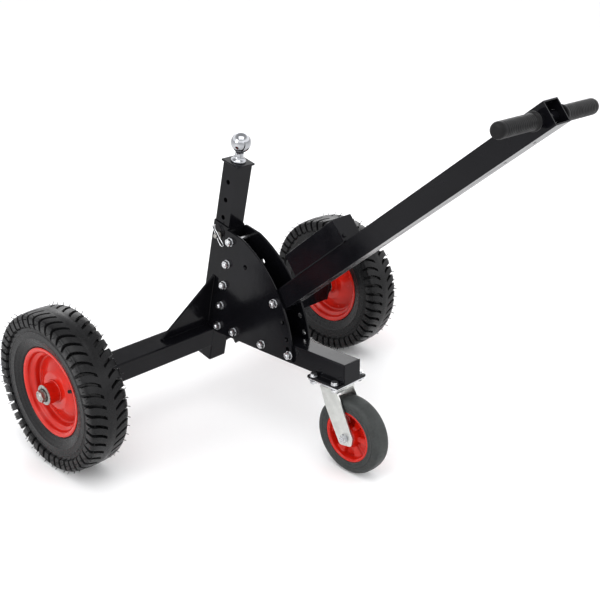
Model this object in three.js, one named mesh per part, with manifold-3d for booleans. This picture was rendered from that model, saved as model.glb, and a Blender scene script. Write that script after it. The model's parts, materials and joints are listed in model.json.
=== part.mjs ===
// Three-wheel trailer dolly: two pneumatic wheels on a fixed axle beam, a caster under the front
// tongue, a height-adjustable ball post and a pivoting tow handle with a T grip.
//
// Millimetres, +Z up. X runs along the axle. The handle and the caster point towards -Y.
// "Left" is -X and "right" is +X, as seen from the handle looking at the axle.
// The origin is on the floor, in the middle of the footprint.

import * as THREE from 'three';
import { mergeVertices } from 'three/addons/utils/BufferGeometryUtils.js';
import Module from 'manifold-3d';

const wasm = await Module();
wasm.setup();

// ---------------------------------------------------------------- driving dimensions

// Clearances
const GAP = 0.3;
const HOLE_CLEARANCE = 0.5;

// Pneumatic wheels, 16 inch
const TYRE_RADIUS = 203;
const TYRE_HALF_WIDTH = 49;
const WHEEL_OFFSET = 488;
const RIM_FLANGE_RADIUS = 114.6;
const RIM_HALF_WIDTH = 36.5;
const RIM_WALL = 3;
const DROP_CENTRE_RADIUS = 93;
const VALVE_TURN = 20;
const HUB_RADIUS = 26;
const HUB_BORE = 21.3;
const HUB_INNER_END = 39;
const HUB_OUTER_END = 50;
const BEARING_PROUD = 3.3;
const BEARING_FLANGE = 25.5;
const COLLAR_RADIUS = 13;
const NUT_FLANGE_RADIUS = 15.5;
const NUT_FLANGE = 2;
const NUT_CORNER_RADIUS = 15.6;
const NUT_LENGTH = 11.4;
const BEARING_WIDTH = 14;
const SHAFT_RADIUS = 10;
const SHAFT_INNER_END = 380;
const SHAFT_OUTER_END = 555;

// Axle beam and mast, which lean forwards together
const MAST_LEAN = THREE.MathUtils.degToRad(11.3);
const BEAM_SIDE = 60;
const BEAM_WALL = 4;
const BEAM_END = 428;
const END_PLATE = 6;
const SLEEVE_WIDTH = 56;
const SLEEVE_DEPTH = 58;
const SLEEVE_WALL = 2.7;
const SLEEVE_BOTTOM = -76;
const SLEEVE_TOP = 336;
const GUSSET_REACH = 187;
const GUSSET_RISE = 183.5;
const GUSSET_THICKNESS = 6;

// Height-adjustable post
const POST_SIDE = 50;
const POST_BOTTOM = 124;
const POST_TOP = 502.4;
const POST_HOLE_PITCH = 50;
const PIN_HEIGHT = 304;
const PIN_RADIUS = 6;
const TOP_PLATE_SIDE = 59;
const TOP_PLATE_THICKNESS = 5;
const BALL_RADIUS = 25.4;
const BALL_CENTRE = 557.8;
const BALL_NECK_RADIUS = 11;
const BALL_FLANGE_RADIUS = 19.5;

// Fan plates either side of the mast
const FAN_INNER_FACE = 28.3;
const FAN_THICKNESS = 6;
const FAN_CENTRE_Y = -21;
const FAN_CENTRE_Z = 226;
const FAN_RADIUS = 315;
const FAN_REAR_OFFSET = 24.5;
const BOLT_RADIUS = 6;
const MAST_BOLT_OFFSET = 48;
const MAST_BOLT_HEIGHTS = [309, 243.5, 179, 117, 52.5];
const PIVOT_Y = -120;
const PIVOT_Z = 248.6;
const LOCK_REACH = 199;
const TONGUE_BOLT_REACHES = [227.5, 325.5];
const TONGUE_BOLT_HEIGHT = 0.6;

// Tongue
const TONGUE_RISE = THREE.MathUtils.degToRad(3);
const TONGUE_HEIGHT_AT_AXLE = 239;
const TONGUE_WIDTH = 55;
const TONGUE_HEIGHT = 53;
const TONGUE_REAR = 204;
const TONGUE_FRONT = 506;
const TONGUE_CAP = 3;
const TUBE_WALL = 3;

// Handle
const HANDLE_ANGLE = THREE.MathUtils.degToRad(41.25);
const HANDLE_TRAVEL = THREE.MathUtils.degToRad(36.5);
const HANDLE_WIDTH = 50;
const HANDLE_HEIGHT = 52;
const HANDLE_REAR = -30;
const HANDLE_END = 1125.5;
const BOX_START = 310.5;
const BOX_END = 510.5;
const BOX_WIDTH = 60;
const BOX_TOP = 83;
const BOX_WALL = 4;
const CROSS_BAR_REACH = 1100.5;
const CROSS_BAR_RADIUS = 12.5;
const CROSS_BAR_HALF_LENGTH = 159;
const CROSS_BAR_ROLL = 1.2;
const GRIP_INNER_END = 38;
const GRIP_OUTER_END = 163;
const GRIP_RADIUS = 16.5;

// Caster
const CASTER_REACH = 450;
const CASTER_RADIUS = 99.5;
const CASTER_HALF_WIDTH = 24;
const CASTER_RIM_RADIUS = 67;
const CASTER_TRAIL = 59.4;
const CASTER_PLATE_DROP = 38.5;
const FORK_INNER_FACE = 28;
const FORK_THICKNESS = 4;

// ---------------------------------------------------------------- finishes

const finishes = {
  black_powder_coat: { color: 0x17181a, roughness: 0.25, metalness: 0.1 },
  zinc_plate: { color: 0xc9ccd0, roughness: 0.35, metalness: 0.9 },
  bright_chrome: { color: 0xe3e5e8, roughness: 0.12, metalness: 1 },
  red_enamel: { color: 0xc81f26, roughness: 0.3, metalness: 0.05 },
  black_tyre: { color: 0x2b2b2d, roughness: 0.85, metalness: 0 },
  grey_tyre: { color: 0x77797b, roughness: 0.8, metalness: 0 },
  black_rubber: { color: 0x1b1b1c, roughness: 0.8, metalness: 0 },
};

function finish(name) {
  return new THREE.MeshStandardMaterial({ name, ...finishes[name] });
}

// ---------------------------------------------------------------- shape helpers

// A closed solid from a geometry: vertices shared, zero-area faces dropped, faces pointing out.
function solid(geometry) {
  const bare = geometry.clone();
  bare.deleteAttribute('normal');
  bare.deleteAttribute('uv');
  const merged = mergeVertices(bare, 1e-3);
  const at = merged.attributes.position;
  const corners = merged.index.array;
  const a = new THREE.Vector3();
  const b = new THREE.Vector3();
  const c = new THREE.Vector3();
  const kept = [];
  let volume = 0;
  for (let i = 0; i < corners.length; i += 3) {
    const [p, q, r] = [corners[i], corners[i + 1], corners[i + 2]];
    if (p === q || q === r || r === p) continue;
    kept.push(p, q, r);
    a.fromBufferAttribute(at, p);
    b.fromBufferAttribute(at, q);
    c.fromBufferAttribute(at, r);
    volume += a.dot(b.cross(c));
  }
  const triVerts = new Uint32Array(volume > 0 ? kept : kept.reverse());
  const vertProperties = new Float32Array(at.array);
  return new wasm.Manifold(new wasm.Mesh({ numProp: 3, vertProperties, triVerts }));
}

function geometryOf(body) {
  const mesh = body.getMesh();
  const geometry = new THREE.BufferGeometry();
  geometry.setAttribute('position', new THREE.BufferAttribute(new Float32Array(mesh.vertProperties), 3));
  geometry.setIndex(new THREE.BufferAttribute(new Uint32Array(mesh.triVerts), 1));
  geometry.computeVertexNormals();
  return geometry;
}

function piece(parent, name, body, finishName) {
  const mesh = new THREE.Mesh(geometryOf(body), finish(finishName));
  mesh.name = name;
  parent.add(mesh);
  return mesh;
}

function frame(parent, x, y, z, tilt = 0) {
  const group = new THREE.Group();
  group.position.set(x, y, z);
  group.rotation.x = tilt;
  parent.add(group);
  return group;
}

function block([x0, x1], [y0, y1], [z0, z1]) {
  const geometry = new THREE.BoxGeometry(x1 - x0, y1 - y0, z1 - z0);
  geometry.translate((x0 + x1) / 2, (y0 + y1) / 2, (z0 + z1) / 2);
  return solid(geometry);
}

// A solid of revolution about X from [distance along X, radius] points.
function turnedX(profile, segments) {
  const points = profile.map(([along, radius]) => new THREE.Vector2(radius, along));
  const geometry = new THREE.LatheGeometry(points, segments);
  geometry.rotateZ(-Math.PI / 2);
  return solid(geometry);
}

// The same about Z, from [height, radius] points.
function turnedZ(profile, segments) {
  const points = profile.map(([height, radius]) => new THREE.Vector2(radius, height));
  const geometry = new THREE.LatheGeometry(points, segments);
  geometry.rotateX(Math.PI / 2);
  return solid(geometry);
}

// A prism along X: sides = 6 gives a hexagon, more gives a round bar.
function barX(x0, x1, radius, y = 0, z = 0, sides = 10) {
  const geometry = new THREE.CylinderGeometry(radius, radius, x1 - x0, sides);
  geometry.rotateZ(-Math.PI / 2);
  geometry.translate((x0 + x1) / 2, y, z);
  return solid(geometry);
}

function barY(y0, y1, radius, x = 0, z = 0, sides = 10) {
  const geometry = new THREE.CylinderGeometry(radius, radius, y1 - y0, sides);
  geometry.translate(x, (y0 + y1) / 2, z);
  return solid(geometry);
}

function barZ(z0, z1, radius, x = 0, y = 0, sides = 10) {
  const geometry = new THREE.CylinderGeometry(radius, radius, z1 - z0, sides);
  geometry.rotateX(Math.PI / 2);
  geometry.translate(x, y, (z0 + z1) / 2);
  return solid(geometry);
}

// An outline in [y, z] made into a plate between two X positions.
const LAID_ON_X = new THREE.Matrix4().makeBasis(
  new THREE.Vector3(0, 1, 0),
  new THREE.Vector3(0, 0, 1),
  new THREE.Vector3(1, 0, 0),
);

function plateX(shape, x0, x1) {
  const geometry = new THREE.ExtrudeGeometry(shape, {
    depth: x1 - x0,
    bevelEnabled: false,
    curveSegments: 4,
  });
  geometry.applyMatrix4(LAID_ON_X);
  geometry.translate(x0, 0, 0);
  return solid(geometry);
}

// An outline in [x, z] made into a plate centred on the Y = 0 plane.
const LAID_ON_Y = new THREE.Matrix4().makeBasis(
  new THREE.Vector3(1, 0, 0),
  new THREE.Vector3(0, 0, 1),
  new THREE.Vector3(0, -1, 0),
);

function plateY(shape, thickness) {
  const geometry = new THREE.ExtrudeGeometry(shape, {
    depth: thickness,
    bevelEnabled: false,
    curveSegments: 4,
  });
  geometry.applyMatrix4(LAID_ON_Y);
  geometry.translate(0, thickness / 2, 0);
  return solid(geometry);
}

// A closed outline through corner points, each corner [a, b, radius] rounded by its radius.
function outline(corners) {
  const shape = new THREE.Shape();
  const count = corners.length;
  corners.forEach(([a, b, radius = 0], index) => {
    const here = new THREE.Vector2(a, b);
    const before = new THREE.Vector2(...corners[(index + count - 1) % count].slice(0, 2));
    const after = new THREE.Vector2(...corners[(index + 1) % count].slice(0, 2));
    const inward = before.sub(here).normalize();
    const outward = after.sub(here).normalize();
    const half = Math.acos(THREE.MathUtils.clamp(inward.dot(outward), -1, 1)) / 2;
    const setback = radius > 0 ? radius / Math.tan(half) : 0;
    const start = here.clone().addScaledVector(inward, setback);
    const end = here.clone().addScaledVector(outward, setback);
    if (index === 0) shape.moveTo(start.x, start.y);
    else shape.lineTo(start.x, start.y);
    if (radius > 0) shape.quadraticCurveTo(here.x, here.y, end.x, end.y);
  });
  shape.closePath();
  return shape;
}

// A rectangular tube: its outside minus its inside.
function tubeAlong(axis, from, to, width, height, wall) {
  const w = width / 2;
  const h = height / 2;
  const spans = {
    x: (a, b, inset) => block([a, b], [-w + inset, w - inset], [-h + inset, h - inset]),
    y: (a, b, inset) => block([-w + inset, w - inset], [a, b], [-h + inset, h - inset]),
    z: (a, b, inset) => block([-w + inset, w - inset], [-h + inset, h - inset], [a, b]),
  };
  return spans[axis](from, to, 0).subtract(spans[axis](from - 1, to + 1, wall));
}

function cut(body, holes) {
  return holes.reduce((left, hole) => left.subtract(hole), body);
}

function join(bodies) {
  return bodies.reduce((whole, body) => whole.add(body));
}

// ---------------------------------------------------------------- frames of reference

const dolly = new THREE.Group();
dolly.name = 'trailer_dolly';

const mast = frame(dolly, 0, 0, TYRE_RADIUS, MAST_LEAN);
const tongue = frame(dolly, 0, 0, TONGUE_HEIGHT_AT_AXLE, -TONGUE_RISE);
const handle = frame(dolly, 0, PIVOT_Y, PIVOT_Z, -HANDLE_ANGLE);
const caster = frame(tongue, 0, -CASTER_REACH, -CASTER_PLATE_DROP);

// How far the caster wheel's centre hangs below the swivel plate when the wheel stands on the floor.
const axleRise = (CASTER_REACH + CASTER_TRAIL) * Math.sin(TONGUE_RISE);
const swivelHeight = TONGUE_HEIGHT_AT_AXLE + axleRise - CASTER_RADIUS;
const CASTER_DROP = swivelHeight / Math.cos(TONGUE_RISE) - CASTER_PLATE_DROP;

// A point of the mast's centre plane as [y, z] of the whole object.
function fromMast(forward, up) {
  const y = -forward * Math.cos(MAST_LEAN) - up * Math.sin(MAST_LEAN);
  const z = TYRE_RADIUS - forward * Math.sin(MAST_LEAN) + up * Math.cos(MAST_LEAN);
  return [y, z];
}

function fromTongue(reach, up) {
  const y = -reach * Math.cos(TONGUE_RISE) + up * Math.sin(TONGUE_RISE);
  const z = TONGUE_HEIGHT_AT_AXLE + reach * Math.sin(TONGUE_RISE) + up * Math.cos(TONGUE_RISE);
  return [y, z];
}

function aroundPivot(radius, angle) {
  return [PIVOT_Y - radius * Math.cos(angle), PIVOT_Z + radius * Math.sin(angle)];
}

// ---------------------------------------------------------------- axle beam, mast and gussets

const SIDES = [['left', -1], ['right', 1]];
const HALF_BEAM = BEAM_SIDE / 2;
const HALF_SLEEVE = SLEEVE_WIDTH / 2;

function span(sign, from, to) {
  return sign > 0 ? [from, to] : [-to, -from];
}

for (const [side, sign] of SIDES) {
  const [beamFrom, beamTo] = span(sign, HALF_SLEEVE + GAP, BEAM_END);
  const beam = tubeAlong('x', beamFrom, beamTo, BEAM_SIDE, BEAM_SIDE, BEAM_WALL);
  piece(mast, `axle_beam_${side}`, beam, 'black_powder_coat');

  const plateSpan = span(sign, BEAM_END + GAP, BEAM_END + GAP + END_PLATE);
  const endPlate = block(plateSpan, [-HALF_BEAM, HALF_BEAM], [-HALF_BEAM, HALF_BEAM]);
  const shaftHole = barX(plateSpan[0] - 1, plateSpan[1] + 1, SHAFT_RADIUS + HOLE_CLEARANCE, 0, 0, 24);
  piece(mast, `beam_end_plate_${side}`, endPlate.subtract(shaftHole), 'black_powder_coat');

  const gusset = outline([
    [sign * (HALF_SLEEVE + GAP), HALF_BEAM + GAP],
    [sign * GUSSET_REACH, HALF_BEAM + GAP],
    [sign * GUSSET_REACH, HALF_BEAM + GAP + 4],
    [sign * (HALF_SLEEVE + GAP), GUSSET_RISE],
  ]);
  piece(mast, `gusset_${side}`, plateY(gusset, GUSSET_THICKNESS), 'black_powder_coat');
}

const sleeve = tubeAlong('z', SLEEVE_BOTTOM, SLEEVE_TOP, SLEEVE_WIDTH, SLEEVE_DEPTH, SLEEVE_WALL);
const sleevePinHole = barX(-40, 40, PIN_RADIUS + HOLE_CLEARANCE, 0, PIN_HEIGHT);
piece(mast, 'mast_sleeve', sleeve.subtract(sleevePinHole), 'black_powder_coat');

// ---------------------------------------------------------------- ball post

const postHoles = [];
for (let step = -3; step <= 3; step += 1) {
  const height = PIN_HEIGHT + step * POST_HOLE_PITCH;
  postHoles.push(barX(-40, 40, PIN_RADIUS + HOLE_CLEARANCE, 0, height));
}
const post = tubeAlong('z', POST_BOTTOM, POST_TOP, POST_SIDE, POST_SIDE, BEAM_WALL);
piece(mast, 'post_tube', cut(post, postHoles), 'black_powder_coat');

const plateBottom = POST_TOP + GAP;
const plateTop = plateBottom + TOP_PLATE_THICKNESS;
const plateHalf = TOP_PLATE_SIDE / 2;
const topPlate = block([-plateHalf, plateHalf], [-plateHalf, plateHalf], [plateBottom, plateTop]);
const ballStudHole = barZ(plateBottom - 1, plateTop + 1, 9 + HOLE_CLEARANCE, 0, 0, 24);
piece(mast, 'post_top_plate', topPlate.subtract(ballStudHole), 'black_powder_coat');

const ballProfile = [[POST_TOP - 24, 0], [POST_TOP - 24, 9], [plateTop + GAP, 9]];
ballProfile.push([plateTop + GAP, BALL_FLANGE_RADIUS], [plateTop + 4, BALL_FLANGE_RADIUS]);
ballProfile.push([plateTop + 8, BALL_FLANGE_RADIUS - 4], [plateTop + 13, BALL_NECK_RADIUS]);
const neckAngle = Math.asin(BALL_NECK_RADIUS / BALL_RADIUS);
const BALL_STEPS = 9;
for (let step = 0; step < BALL_STEPS; step += 1) {
  const angle = neckAngle + (Math.PI - neckAngle) * (step / BALL_STEPS);
  const height = BALL_CENTRE - BALL_RADIUS * Math.cos(angle);
  ballProfile.push([height, BALL_RADIUS * Math.sin(angle)]);
}
ballProfile.push([BALL_CENTRE + BALL_RADIUS, 0]);
piece(mast, 'hitch_ball', turnedZ(ballProfile, 20), 'bright_chrome');

const ballNut = barZ(POST_TOP - 18, POST_TOP, 17, 0, 0, 6);
const ballNutBore = barZ(POST_TOP - 25, POST_TOP + 1, 9 + HOLE_CLEARANCE, 0, 0, 24);
piece(mast, 'ball_nut', ballNut.subtract(ballNutBore), 'zinc_plate');

// ---------------------------------------------------------------- hitch pin and its spring clip

const pin = join([
  barX(-46, 33, PIN_RADIUS, 0, PIN_HEIGHT),
  barX(-32, -28.6, 9, 0, PIN_HEIGHT),
]);
const CLIP_X = -40;
const CLIP_WIRE = 1.4;
const CLIP_SLOPE = THREE.MathUtils.degToRad(45);
const clipBore = barZ(-30, 30, CLIP_WIRE + 0.4, 0, 0, 10);
const clipBoreTurned = clipBore.rotate([THREE.MathUtils.radToDeg(CLIP_SLOPE) - 90, 0, 0]);
piece(mast, 'hitch_pin', pin.subtract(clipBoreTurned.translate([CLIP_X, 0, PIN_HEIGHT])), 'zinc_plate');

// The clip is one bent wire in a plane of constant X: a straight leg through the pin, a round
// loop at the lower end and a waved leg that grips the outside of the pin.
function clipPoint(along, across) {
  const y = -along * Math.cos(CLIP_SLOPE) - across * Math.sin(CLIP_SLOPE);
  const z = PIN_HEIGHT - along * Math.sin(CLIP_SLOPE) + across * Math.cos(CLIP_SLOPE);
  return new THREE.Vector3(CLIP_X, y, z);
}
const clipPath = new THREE.CatmullRomCurve3([
  clipPoint(-30, 0),
  clipPoint(-15, 0),
  clipPoint(0, 0),
  clipPoint(14, 0),
  clipPoint(24, 1),
  clipPoint(32, 6),
  clipPoint(29, 12.5),
  clipPoint(21, 12),
  clipPoint(11, 10),
  clipPoint(0, 9.2),
  clipPoint(-9, 7.5),
  clipPoint(-16, 6),
  clipPoint(-23, 9),
  clipPoint(-28, 13),
], false, 'centripetal');
const wireSection = new THREE.Shape();
wireSection.absarc(0, 0, CLIP_WIRE, 0, Math.PI * 2, false);
const clipWire = new THREE.ExtrudeGeometry(wireSection, {
  steps: 30,
  curveSegments: 4,
  bevelEnabled: false,
  extrudePath: clipPath,
});
piece(mast, 'pin_clip', solid(clipWire), 'zinc_plate');

// ---------------------------------------------------------------- fan plates

const lockAngles = [6, 13.5, 26.3].map((angle) => THREE.MathUtils.degToRad(angle));
const upperLock = HANDLE_ANGLE + HANDLE_TRAVEL;
const mastBoltPoints = MAST_BOLT_HEIGHTS.map((height) => fromMast(MAST_BOLT_OFFSET, height));
const tongueBoltPoints = TONGUE_BOLT_REACHES.map((reach) => fromTongue(reach, TONGUE_BOLT_HEIGHT));
const lockPoint = aroundPivot(LOCK_REACH, HANDLE_ANGLE);
const spareHoles = [...lockAngles, upperLock].map((angle) => aroundPivot(LOCK_REACH, angle));

const fanCorners = [];
const rearBottom = fromMast(FAN_REAR_OFFSET, 24.6);
const rearTop = fromMast(FAN_REAR_OFFSET, 334);
fanCorners.push([...rearBottom, 20]);
fanCorners.push([...rearTop, 10]);
const arcStart = Math.asin((rearTop[1] - FAN_CENTRE_Z) / FAN_RADIUS) - 0.02;
const ARC_STEPS = 15;
for (let step = 1; step <= ARC_STEPS; step += 1) {
  const angle = arcStart + (0.03 - arcStart) * (step / ARC_STEPS);
  const y = FAN_CENTRE_Y - FAN_RADIUS * Math.cos(angle);
  const z = FAN_CENTRE_Z + FAN_RADIUS * Math.sin(angle);
  fanCorners.push([y, z, step === ARC_STEPS ? 6 : 0]);
}
const fanShape = outline(fanCorners);

for (const [side, sign] of SIDES) {
  const [from, to] = span(sign, FAN_INNER_FACE, FAN_INNER_FACE + FAN_THICKNESS);
  const bolted = [...mastBoltPoints, ...tongueBoltPoints, [PIVOT_Y, PIVOT_Z], lockPoint, ...spareHoles];
  const holes = bolted.map(([y, z]) => barX(from - 1, to + 1, BOLT_RADIUS + HOLE_CLEARANCE, y, z));
  piece(dolly, `fan_plate_${side}`, cut(plateX(fanShape, from, to), holes), 'black_powder_coat');
}

// A through bolt: flanged hexagon head on the right, flanged nut and bare thread on the left.
function throughBolt(y, z, grip = FAN_INNER_FACE + FAN_THICKNESS + GAP) {
  return join([
    barX(-grip - 15, grip + 5, BOLT_RADIUS, y, z),
    barX(grip, grip + 8, 11, y, z, 6),
    barX(-grip - 9.5, -grip, 11, y, z, 6),
  ]);
}

mastBoltPoints.forEach(([y, z], index) => {
  piece(dolly, `mast_bolt_${index + 1}`, throughBolt(y, z), 'zinc_plate');
});
tongueBoltPoints.forEach(([y, z], index) => {
  piece(dolly, `tongue_bolt_${index + 1}`, throughBolt(y, z), 'zinc_plate');
});
piece(dolly, 'pivot_bolt', throughBolt(PIVOT_Y, PIVOT_Z), 'zinc_plate');
piece(dolly, 'lock_bolt', throughBolt(...lockPoint), 'zinc_plate');

for (const [side, sign] of SIDES) {
  const [from, to] = span(sign, HANDLE_WIDTH / 2 + GAP, FAN_INNER_FACE - GAP);
  const spacer = barX(from, to, 14, PIVOT_Y, PIVOT_Z);
  const bore = barX(from - 1, to + 1, BOLT_RADIUS + HOLE_CLEARANCE, PIVOT_Y, PIVOT_Z);
  piece(dolly, `pivot_spacer_${side}`, spacer.subtract(bore), 'zinc_plate');
}

// ---------------------------------------------------------------- tongue

const tubeFront = TONGUE_FRONT - TONGUE_CAP - GAP;
const tongueTube = tubeAlong('y', -tubeFront, -TONGUE_REAR, TONGUE_WIDTH, TONGUE_HEIGHT, TUBE_WALL);
const tongueHoles = TONGUE_BOLT_REACHES.map((reach) => (
  barX(-40, 40, BOLT_RADIUS + HOLE_CLEARANCE, -reach, TONGUE_BOLT_HEIGHT)
));
piece(tongue, 'tongue_tube', cut(tongueTube, tongueHoles), 'black_powder_coat');

const capSpan = [-TONGUE_FRONT, -TONGUE_FRONT + TONGUE_CAP];
const halfTongue = [TONGUE_WIDTH / 2, TONGUE_HEIGHT / 2];
const tongueCap = block([-halfTongue[0], halfTongue[0]], capSpan, [-halfTongue[1], halfTongue[1]]);
piece(tongue, 'tongue_cap', tongueCap, 'black_powder_coat');

// ---------------------------------------------------------------- caster mounting

const padSpanX = [-45.5, 56.5];
const padSpanY = [-49, 52];
const casterBoltPlaces = [];
for (const x of [-38, 49.5]) {
  for (const y of [36.5, -33]) casterBoltPlaces.push([x, y]);
}
const padHoles = casterBoltPlaces.map(([x, y]) => barZ(-5, 20, 4 + HOLE_CLEARANCE, x, y, 8));
const pad = block(padSpanX, padSpanY, [5, 11.7]);
piece(caster, 'caster_pad', cut(pad, padHoles), 'black_powder_coat');

const swivelBore = barZ(-5, 20, 8 + HOLE_CLEARANCE, 0, 0, 16);
const casterPlate = block([-44, 55], [-47, 50], [0, 4.7]);
piece(caster, 'caster_top_plate', cut(casterPlate, [...padHoles, swivelBore]), 'zinc_plate');

casterBoltPlaces.forEach(([x, y], index) => {
  const bolt = join([
    barZ(-10, 13, 4, x, y, 8),
    barZ(12, 18, 7.2, x, y, 6),
    barZ(-7, -GAP, 7.2, x, y, 6),
  ]);
  piece(caster, `caster_bolt_${index + 1}`, bolt, 'zinc_plate');
});

// ---------------------------------------------------------------- caster fork and wheel

const legShape = outline([
  [20.5, -16, 6],
  [5.6, -57.7],
  [-43.4, -151, 10],
  [-81.6, -144.5, 10],
  [-85.7, -120.7, 10],
  [-42.6, -29.5, 10],
  [-30.1, -10, 4],
  [20.5, -10, 4],
]);
const crownShape = [
  block([-32, 32], [-34, 22], [-16, -10]),
  turnedZ([[-15, 0], [-15, 27], [-7, 30], [-GAP, 30], [-GAP, 8], [4.2, 8], [4.2, 0]], 16),
];
const legs = SIDES.map(([, sign]) => {
  const [from, to] = span(sign, FORK_INNER_FACE, FORK_INNER_FACE + FORK_THICKNESS);
  return plateX(legShape, from, to);
});
const forkBore = barX(-40, 40, BOLT_RADIUS + HOLE_CLEARANCE, -CASTER_TRAIL, -CASTER_DROP);
piece(caster, 'caster_fork', join([...legs, ...crownShape]).subtract(forkBore), 'zinc_plate');
piece(caster, 'caster_axle', throughBolt(-CASTER_TRAIL, -CASTER_DROP, 32.3), 'zinc_plate');

const casterWheel = frame(caster, 0, -CASTER_TRAIL, -CASTER_DROP, TONGUE_RISE);
const casterTyre = turnedX([
  [-CASTER_HALF_WIDTH, CASTER_RIM_RADIUS + GAP],
  [-CASTER_HALF_WIDTH, 91],
  [-18.5, 98],
  [0, CASTER_RADIUS],
  [18.5, 98],
  [CASTER_HALF_WIDTH, 91],
  [CASTER_HALF_WIDTH, CASTER_RIM_RADIUS + GAP],
  [-CASTER_HALF_WIDTH, CASTER_RIM_RADIUS + GAP],
], 28);
piece(casterWheel, 'caster_tyre', casterTyre, 'grey_tyre');

const casterRim = turnedX([
  [-23, CASTER_RIM_RADIUS],
  [23, CASTER_RIM_RADIUS],
  [23, 59],
  [10, 55],
  [8, 26],
  [27, 20],
  [27, BOLT_RADIUS + HOLE_CLEARANCE],
  [-27, BOLT_RADIUS + HOLE_CLEARANCE],
  [-27, 20],
  [-8, 26],
  [-10, 55],
  [-23, 59],
  [-23, CASTER_RIM_RADIUS],
], 28);
piece(casterWheel, 'caster_rim', casterRim, 'red_enamel');

// ---------------------------------------------------------------- handle

const halfHandle = HANDLE_HEIGHT / 2;
const lockDrop = HANDLE_HEIGHT;
const lockNotch = join([
  barX(-40, 40, BOLT_RADIUS + HOLE_CLEARANCE + 0.2, -LOCK_REACH, 0),
  block([-40, 40], [-LOCK_REACH - BOLT_RADIUS - 0.7, -LOCK_REACH + BOLT_RADIUS + 5], [-lockDrop, 0]),
]);
const handleTube = tubeAlong('y', -HANDLE_END, -HANDLE_REAR, HANDLE_WIDTH, HANDLE_HEIGHT, TUBE_WALL);
const handleCuts = [
  lockNotch,
  barX(-40, 40, BOLT_RADIUS + HOLE_CLEARANCE, 0, 0),
  barX(-40, 40, CROSS_BAR_RADIUS + HOLE_CLEARANCE, 0, 0, 16)
    .rotate([0, CROSS_BAR_ROLL, 0])
    .translate([0, -CROSS_BAR_REACH, 0]),
  barZ(-halfHandle - 5, -halfHandle + 10, 4, 0, -972, 8),
  barZ(-halfHandle - 5, -halfHandle + 10, 4, 0, -1052, 8),
];
piece(handle, 'handle_tube', cut(handleTube, handleCuts), 'black_powder_coat');

const boxBottom = halfHandle + GAP;
const halfBox = BOX_WIDTH / 2;
const boxOutside = block([-halfBox, halfBox], [-BOX_END + 4, -BOX_START], [boxBottom, BOX_TOP]);
const boxInside = block(
  [-halfBox + BOX_WALL, halfBox - BOX_WALL],
  [-BOX_END - 1, -BOX_START + 1],
  [boxBottom + BOX_WALL, BOX_TOP - BOX_WALL],
);
piece(handle, 'receiver_box', boxOutside.subtract(boxInside), 'black_powder_coat');

const capPlate = block([-halfBox, halfBox], [-BOX_END, -BOX_END + 3.7], [boxBottom, BOX_TOP]);
const capScrew = barY(-BOX_END - 4, -BOX_END + 1, 5, -21, boxBottom + 13, 6);
piece(handle, 'receiver_cap', join([capPlate, capScrew]), 'black_powder_coat');

const crossBar = frame(handle, 0, -CROSS_BAR_REACH, 0);
crossBar.rotation.y = THREE.MathUtils.degToRad(CROSS_BAR_ROLL);
piece(crossBar, 'cross_bar', barX(-CROSS_BAR_HALF_LENGTH, CROSS_BAR_HALF_LENGTH, CROSS_BAR_RADIUS, 0, 0, 16),
  'zinc_plate');
for (const [side, sign] of SIDES) {
  const grip = turnedX([
    [sign * GRIP_INNER_END, CROSS_BAR_RADIUS + GAP],
    [sign * GRIP_INNER_END, 19.5],
    [sign * (GRIP_INNER_END + 5), 19.5],
    [sign * (GRIP_INNER_END + 6), GRIP_RADIUS],
    [sign * GRIP_OUTER_END, GRIP_RADIUS],
    [sign * GRIP_OUTER_END, 0],
    [sign * (CROSS_BAR_HALF_LENGTH + GAP), 0],
    [sign * (CROSS_BAR_HALF_LENGTH + GAP), CROSS_BAR_RADIUS + GAP],
    [sign * GRIP_INNER_END, CROSS_BAR_RADIUS + GAP],
  ], 16);
  piece(crossBar, `grip_${side}`, grip, 'black_rubber');
}

// ---------------------------------------------------------------- pneumatic wheels and their axles

const tyreOutside = [
  [33.1, 105.6], [33.1, 116], [46, 131], [TYRE_HALF_WIDTH, 155], [48.5, 187], [41, 199.5],
];
const tyreInside = [
  [26, 105.6], [26, 118], [40, 140], [40, 172], [26, 189],
];
const mirrored = (points) => points.map(([along, radius]) => [-along, radius]).reverse();
const tyreProfile = [
  ...tyreOutside,
  [0, TYRE_RADIUS],
  ...mirrored(tyreOutside),
  ...tyreInside.map(([along, radius]) => [-along, radius]),
  ...mirrored(tyreInside).map(([along, radius]) => [-along, radius]),
  tyreOutside[0],
];

const flangeInner = RIM_FLANGE_RADIUS - 12.4;
const rimOutside = [
  [18, DROP_CENTRE_RADIUS], [24, 105.2], [33.5, 105.2], [33.5, RIM_FLANGE_RADIUS],
  [RIM_HALF_WIDTH, RIM_FLANGE_RADIUS], [RIM_HALF_WIDTH, flangeInner], [26, flangeInner],
  [20, DROP_CENTRE_RADIUS - RIM_WALL], [3.5, DROP_CENTRE_RADIUS - RIM_WALL], [14, 62],
  [34, HUB_RADIUS + GAP], [29.5, HUB_RADIUS + GAP], [10.5, 62],
];
const rimProfile = [
  ...rimOutside,
  [0, 84],
  ...mirrored(rimOutside),
  rimOutside[0],
];

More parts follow.
